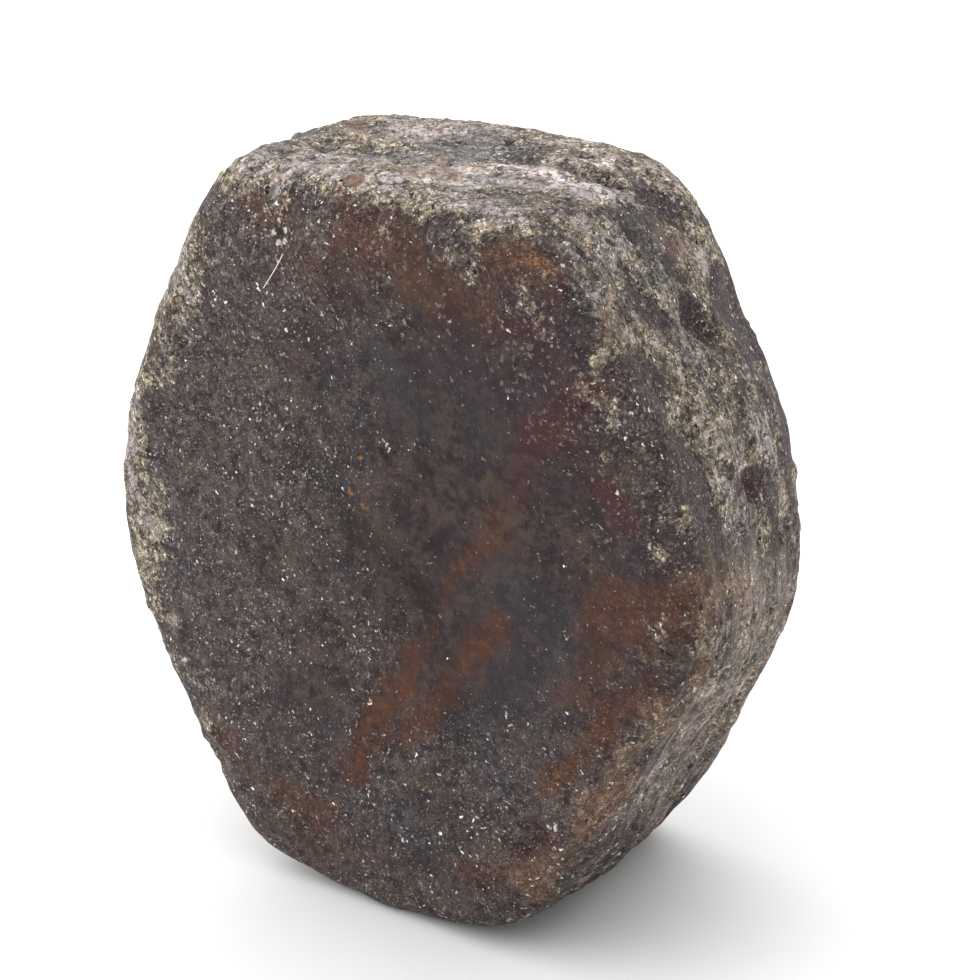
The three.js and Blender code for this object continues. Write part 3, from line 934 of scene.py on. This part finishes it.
def crust_colour(g):
    """Soft patches of mauve grey and of cream, with olive, brown and slate ones, and painted shade in
    crevices and thin cracks.
    """
    tint = g.plus(g.noise(1.6, 4, 0.7, g.warped), g.ramp(g.crust, 0.5, 1, 0.16, -0.08))
    colour = g.mix(g.ramp(tint, 0.42, 0.62), CRUST_MAUVE, CRUST_CREAM)
    olive = g.noise(1.9, 3, 0.7, g.vector("ADD", g.warped, OLIVE_OFFSET))
    colour = g.mix(g.ramp(olive, 0.54, 0.64, 0, 0.75), colour, CRUST_OLIVE)
    colour = g.mix(g.ramp(g.small_tone, 0.8, 0.86, 0, 0.6), colour, CRUST_BROWN)
    colour = g.mix(1, colour, crust_brightness(g), "MULTIPLY")
    slate = g.most(g.ramp(g.value("slate"), 0, 0.7), g.ramp(g.hue, 0.46, 0.36, 0, 0.6))
    colour = g.mix(g.times(slate, g.ramp(g.shred, 0.4, 0.6, 0.9, 0.4)), colour, CRUST_SLATE)
    # Painted shade in the crevices between the crust's lumps.
    crevice = g.times(g.ramp(g.coarse, 0.3, 0.05), g.ramp(g.coarse_tone, 0.5, 0.7))
    colour = g.mix(g.times(crevice, 0.7), colour, CRUST_DARK_AND_CREVICE_SHADE)
    colour = g.mix(g.ramp(g.fine_tone, 0.92, 0.96, 0, 0.5), colour, CRUST_PALE)
    # Painted shade in thin cracks.
    return g.mix(g.times(g.arcs(2.6, 0.28), 0.75), colour, PIT_SHADE)


def sandy_crust(g, colour):
    """Granular crust, with a few rusty and ochre spots."""
    colour = g.mix(g.crusted, colour, crust_colour(g))
    ochre = g.plus(g.value("ochre"), g.times(g.plus(g.shred, g.crumb), 0.7))
    spot = g.mix(g.ramp(g.grain, 0.4, 0.6), RUST, OCHRE)
    return g.mix(g.ramp(ochre, 1.05, 1.4, 0, 0.8), colour, spot)


def growth_ledges(g, colour):
    """Tan and grey ledges on the striated faces, with pale dashes, and painted shade in the thin gaps
    between them.
    """
    lines, streak = g.noise(2.6, 2, 0.6, g.along), g.noise(4, 3, 0.7, g.along)
    tan = g.mix(g.ramp(streak, 0.54, 0.66, 0, 0.4), TAN, CRUST_CREAM)
    tan = g.mix(g.ramp(g.shred, 0.52, 0.4, 0, 0.85), tan, CRUST_BROWN)
    colour = g.mix(g.times(g.tan, 0.8), colour, tan)
    grey = g.mix(g.ramp(g.blotch, 0.3, 0.65), STONE_GREY, LIT_LEDGE_GREY)
    grey = g.mix(g.ramp(streak, 0.48, 0.36, 0, 0.6), grey, CRUST_SLATE)
    grey = g.mix(g.ramp(g.shred, 0.5, 0.62, 0, 0.5), grey, TAN)
    # Painted light from the pale marks.
    grey = g.mix(1, grey, g.lift, "MULTIPLY")
    g.ledge = g.times(g.value("ledge"), g.ramp(lines, 0.36, 0.5, 0.35, 0.9))
    g.ledge = g.times(g.ledge, g.ramp(g.plus(g.tan, g.crumb), 0.75, 1.3, 1, 0.2))
    g.ledge = g.times(g.ledge, g.ramp(g.cloud, 0.38, 0.5, 0.5, 1))
    g.ledge = g.times(g.ledge, g.ramp(g.level, 0.1, 0.5, 1, 0.35))
    colour = g.mix(g.ledge, colour, grey)
    stretched = g.vector("MULTIPLY", g.ragged, DASH_STRETCH)
    dashes = g.specks(g.cells(6, stretched), 0, g.ramp(g.lined, 0.3, 0.9, 0, 0.6), 0.34)
    colour = g.mix(g.times(dashes, g.ramp(g.shred, 0.42, 0.56)), colour, CRUST_PALE)
    # Painted shade in the thin gaps between the ledges.
    gaps = g.ramp(g.maths("ABSOLUTE", g.minus(lines, 0.45), 0), 0.024, 0.006)
    gaps = g.times(gaps, g.times(g.lined, g.ramp(g.shred, 0.4, 0.55)))
    return g.mix(g.times(gaps, 0.7), colour, DARK_BODY_AND_GAP_SHADE)


def shaded_places(g, colour):
    """Painted shade in hollows, pits, cavities and the holes of the crust."""
    # Painted shade where the shade marks are.
    colour = g.mix(g.times(g.value("dark"), 0.5), colour, PIT_SHADE)
    # Painted shade in the pits and hollows.
    colour = g.mix(g.times(g.value("cavity_shade"), 0.8), colour, PIT_SHADE)
    hole_shade = g.specks(g.coarse_cells, 0, g.ramp(g.crust, 0.15, 0.5, 0, 0.42), 0.42)
    return g.mix(hole_shade, colour, PIT_SHADE)


def crest_light_and_crevice_shade(g, colour):
    """Painted shade in the crevices between the grains and lumps, and painted light on their crests."""
    crests = g.times(g.ramp(g.coarse, 0, 0.7, 0.7, 1.2), g.ramp(g.fine, 0, 0.7, 0.5, 1.4))
    contrast = g.ramp(g.grit, 0, 1, 0.4, 4)
    grains = g.ramp(g.times(g.minus(g.grain, 0.5), contrast), -0.2, 0.2, 0.64, 1.42)
    smooth = g.times(g.most(g.ledge, g.tan), 0.3)
    relief = g.blend(g.minus(g.crusted, smooth), grains, crests)
    relief = g.blend(g.ramp(g.crust, 0.75, 1, 0, 0.7), relief, 1)
    # Painted light and shade, multiplied into the colour.
    return g.mix(1, colour, relief, "MULTIPLY")


def single_marks(g, colour):
    """The small marks that have places of their own."""
    colour = g.mix(g.times(g.small_marks("amber"), 0.85), colour, AMBER)
    # Painted shade in the small pits.
    colour = g.mix(g.times(g.small_marks("pit"), 0.85), colour, PIT_SHADE)
    pale = g.times(g.small_marks("pale"), g.ramp(g.grain, 0.35, 0.55, 0.2, 0.9))
    return g.mix(pale, colour, CRUST_PALE)


def glints(g, colour):
    """Bright glints of small crystal faces, in clusters."""
    cluster = g.ramp(g.noise(0.9, 2, 0.6), 0.43, 0.6, 0.05, 1)
    dense = g.times(g.ramp(g.grit, 0.1, 0.85, 0.006, 0.8), cluster)
    dense = g.most(dense, g.times(g.sparkle, 0.9))
    # Painted shade in small chinks where it sparkles.
    colour = g.mix(g.times(g.chinks, g.times(g.sparkle, 0.9)), colour, PIT_SHADE)
    shiny = g.cells(4.2)
    colour = g.mix(g.specks(shiny, 0, g.times(dense, 0.3), 0.32), colour, GLINT)
    pale_from = g.minus(1, g.times(dense, 0.65))
    colour = g.mix(g.specks(shiny, pale_from, 1, 0.29), colour, CRUST_PALE)
    wisps = g.ramp(g.grit, 0.08, 0.8, 0.003, 0.9)
    return g.mix(g.specks(g.fine_cells, 0, wisps, 0.4), colour, WISP)


def bump_height(g):
    """Fine ragged relief, which is higher on the crust."""
    height = g.total((g.shred, 0.8), (g.grain, 0.5))
    return g.times(height, g.ramp(g.crust, 0.3, 0.7, 1, 1.6))


RUBY_LAYERS = [stains, haze, loose_crumbs, sandy_crust, growth_ledges, shaded_places]
RUBY_LAYERS += [crest_light_and_crevice_shade, single_marks, glints]


def ruby_material():
    g = RubyGraph()
    colour = bare_skin(g)
    for layer in RUBY_LAYERS:
        colour = layer(g, colour)
    rough = g.ramp(g.grain, 0.3, 0.7, 0.5, 0.75)
    return g.finish(colour, rough, bump_height(g), RUBY_BUMP, RUBY_GLOSS, IOR=RUBY_IOR)


def grain_material():
    """Loose grains of sand: each has one tone, from dark brown over beige to clear white."""
    g = Graph("sand_grain")
    tone = g.value("tone")
    colour = g.mix(g.ramp(tone, 0, 0.35), CRUST_DARK_AND_CREVICE_SHADE, CRUST_MAUVE)
    colour = g.mix(g.ramp(tone, 0.6, 0.95), colour, CRUST_PALE)
    colour = g.mix(g.ramp(tone, 0.93, 0.98), colour, GLINT)
    colour = g.mix(g.ramp(g.noise(14, 2, 0.7), 0.35, 0.65, 0, 0.35), colour, CRUST_CREAM)
    return g.finish(colour, g.ramp(tone, 0, 1, 0.75, 0.35), g.noise(20, 2, 0.6), 0.01, 0.3)


ruby = ruby_material()
crystal = make_mesh("crystal_skin", skin, triangles)
skin_values = dict(crust=crust, grit=grit, lined=striated, strewn=strewn, cavity_shade=cavity_shade, **marks)
for name, values in skin_values.items():
    add_value(crystal.data, name, values)
crystal.data.materials.append(ruby)
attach(crystal, "root")
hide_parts(NODE)

# -------- Loose grains of sand, and a lint fibre --------

GRAIN_COUNT = 12000
GRAIN_SIZE = (0.02, 0.06)  # radius of the smallest and the largest grain
GRAIN_STRETCH = (0.6, 1.2)
GRAIN_FLATNESS = 0.55
GRAIN_SEED = 7
OCTAHEDRON = np.array([(1, 0, 0), (-1, 0, 0), (0, 1, 0), (0, -1, 0), (0, 0, 1), (0, 0, -1)], float)
OCTAHEDRON_FACES = np.array(
    [(0, 2, 4), (2, 1, 4), (1, 3, 4), (3, 0, 4), (2, 0, 5), (1, 2, 5), (3, 1, 5), (0, 3, 5)]
)


def scatter_grains():
    """Grains that lie on the skin, most of them where it is crusty."""
    chance = np.random.default_rng(GRAIN_SEED)
    corners = skin[triangles]
    area = np.linalg.norm(np.cross(corners[:, 1] - corners[:, 0], corners[:, 2] - corners[:, 0]), axis=1)
    wanted = crusted + cavity_shade * crusted + (0.2 * grit + 0.04 * edge) * (1 - marks["rust"])
    wanted = wanted[triangles].mean(1) * area
    wanted *= corners[:, :, 2].min(1) > GRAIN_SIZE[1]
    picked = chance.choice(len(triangles), GRAIN_COUNT, p=wanted / wanted.sum())
    shares = chance.dirichlet((1, 1, 1), GRAIN_COUNT)
    place = (corners[picked] * shares[:, :, None]).sum(1)
    outward = normals[triangles[picked, 0]]
    size = GRAIN_SIZE[0] + (GRAIN_SIZE[1] - GRAIN_SIZE[0]) * chance.random(GRAIN_COUNT) ** 3
    turns = np.linalg.qr(chance.normal(size=(GRAIN_COUNT, 3, 3)))[0]
    stretch = chance.uniform(*GRAIN_STRETCH, (GRAIN_COUNT, 1, 3))
    shapes = (OCTAHEDRON * stretch) @ turns * size[:, None, None]
    rise = np.einsum("gpi,gi->gp", shapes, outward)
    points = place[:, None] + shapes - GRAIN_FLATNESS * rise[:, :, None] * outward[:, None]
    faces = OCTAHEDRON_FACES + 6 * np.arange(GRAIN_COUNT)[:, None, None]
    piece = make_mesh("sand_grains", points.reshape(-1, 3), faces.reshape(-1, 3), smooth=False)
    add_value(piece.data, "tone", np.repeat(chance.random(GRAIN_COUNT), 6))
    piece.data.materials.append(grain_material())
    return piece


# The fibre's line, from the centre: it bends a little, and lies just clear of the front.
FIBRE_LINE = [
    (-3.4, -6.04, 11.45),
    (-3.52, -6.14, 11.1),
    (-3.7, -6.18, 10.75),
    (-4.1, -6.12, 10.2),
    (-4.3, -6.05, 9.95),
]
FIBRE_RADIUS = 0.016
FIBRE_STEPS = 24
FIBRE_SIDES = 8


def lint_fibre():
    """A thin bent tube along a smooth curve through the fibre's line."""
    knots = np.array(FIBRE_LINE) + CENTRE
    along, knots_along = np.linspace(0, 1, FIBRE_STEPS), np.linspace(0, 1, len(knots))
    curves = [np.polyfit(knots_along, knots[:, i], 3) for i in range(3)]
    line = np.stack([np.polyval(curve, along) for curve in curves], axis=1)
    ahead = np.gradient(line, axis=0)
    ahead /= np.linalg.norm(ahead, axis=1, keepdims=True)
    aside = np.cross(ahead, (0, 1, 0))
    aside /= np.linalg.norm(aside, axis=1, keepdims=True)
    over = np.cross(ahead, aside)
    turn = np.arange(FIBRE_SIDES) * 2 * math.pi / FIBRE_SIDES
    ring = aside[:, None] * np.cos(turn)[:, None] + over[:, None] * np.sin(turn)[:, None]
    points = (line[:, None] + FIBRE_RADIUS * ring).reshape(-1, 3)
    faces = []
    for step in range(FIBRE_STEPS - 1):
        for side in range(FIBRE_SIDES):
            a, b = step * FIBRE_SIDES + side, step * FIBRE_SIDES + (side + 1) % FIBRE_SIDES
            faces += [(a, a + FIBRE_SIDES, b), (b, a + FIBRE_SIDES, b + FIBRE_SIDES)]
    last = (FIBRE_STEPS - 1) * FIBRE_SIDES
    for side in range(1, FIBRE_SIDES - 1):
        faces += [(0, side, side + 1), (last, last + side + 1, last + side)]
    piece = make_mesh("lint_fibre", points, np.array(faces))
    g = Graph("lint")
    colour = g.mix(g.noise(6.0, 2.0, 0.6), rgb(0.75, 0.72, 0.66), rgb(0.95, 0.93, 0.88))
    piece.data.materials.append(g.finish(colour, 0.6))
    return piece


for dirt in (scatter_grains(), lint_fibre()):
    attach(dirt, "root")

# -------- Studio: floor, light and camera --------

FLOOR_SIZE = 3000


def studio_floor():
    corners = np.array([(-1, -1, 0), (1, -1, 0), (1, 1, 0), (-1, 1, 0)]) * FLOOR_SIZE / 2
    floor = make_mesh("studio_floor", corners, np.array([(0, 1, 2), (0, 2, 3)]))
    g = Graph("studio_paper")
    paper = g.mix(g.noise(0.2, 2.0, 0.5), rgb(0.80, 0.815, 0.81), rgb(0.84, 0.85, 0.845))
    floor.data.materials.append(g.finish(paper, 0.9))


# The photo's angle. Lengths are in millimetres.
CAMERA_AZIMUTH = 34.0
CAMERA_ELEVATION = 22.3
CAMERA_DISTANCE = 130.33
CAMERA_TARGET = Vector((0.5, -0.7, 15.03))
FOCAL_LENGTH = 132.5
SENSOR = 36
CLIP = (1, 20000)


def studio_camera():
    az, el = math.radians(CAMERA_AZIMUTH), math.radians(CAMERA_ELEVATION)
    back = Vector((math.sin(az) * math.cos(el), -math.cos(az) * math.cos(el), math.sin(el)))
    right = Vector((math.cos(az), math.sin(az), 0))
    up = back.cross(right)
    data = bpy.data.cameras.new("photo_camera")
    data.sensor_width = SENSOR
    data.lens = FOCAL_LENGTH
    data.clip_start, data.clip_end = (distance * MM for distance in CLIP)
    camera = bpy.data.objects.new("photo_camera", data)
    bpy.context.scene.collection.objects.link(camera)
    turn = Matrix((right, up, back)).transposed().to_4x4()
    camera.matrix_world = Matrix.Translation((CAMERA_TARGET + back * CAMERA_DISTANCE) * MM) @ turn
    bpy.context.scene.camera = camera


SKY_BRIGHT_SIDE = (-0.72, 0.12, 0.65)
SKY_DIM, SKY_BRIGHT = 0.5, 2.3
SKY_FROM, SKY_TO = -0.5, 1.0  # how well a direction agrees with the bright side at the two ends


def studio_sky():
    """A white tent that is brightest behind, to the left and overhead, and dim around the camera."""
    world = bpy.data.worlds.new("studio_sky")
    bpy.context.scene.world = world
    world.use_nodes = True
    tree = world.node_tree
    place = tree.nodes.new("ShaderNodeTexCoord").outputs["Generated"]
    facing = tree.nodes.new("ShaderNodeVectorMath")
    facing.operation = "DOT_PRODUCT"
    facing.inputs[1].default_value = Vector(SKY_BRIGHT_SIDE).normalized()
    tree.links.new(place, facing.inputs[0])
    strength = tree.nodes.new("ShaderNodeMapRange")
    strength.interpolation_type = "SMOOTHSTEP"
    for socket, number in zip(strength.inputs[1:5], (SKY_FROM, SKY_TO, SKY_DIM, SKY_BRIGHT)):
        socket.default_value = number
    tree.links.new(facing.outputs["Value"], strength.inputs[0])
    background = tree.nodes["Background"]
    background.inputs["Color"].default_value = (1, 1, 1, 1)
    tree.links.new(strength.outputs[0], background.inputs["Strength"])


studio_floor()
studio_sky()
studio_camera()
bpy.context.scene.view_settings.view_transform = "Standard"
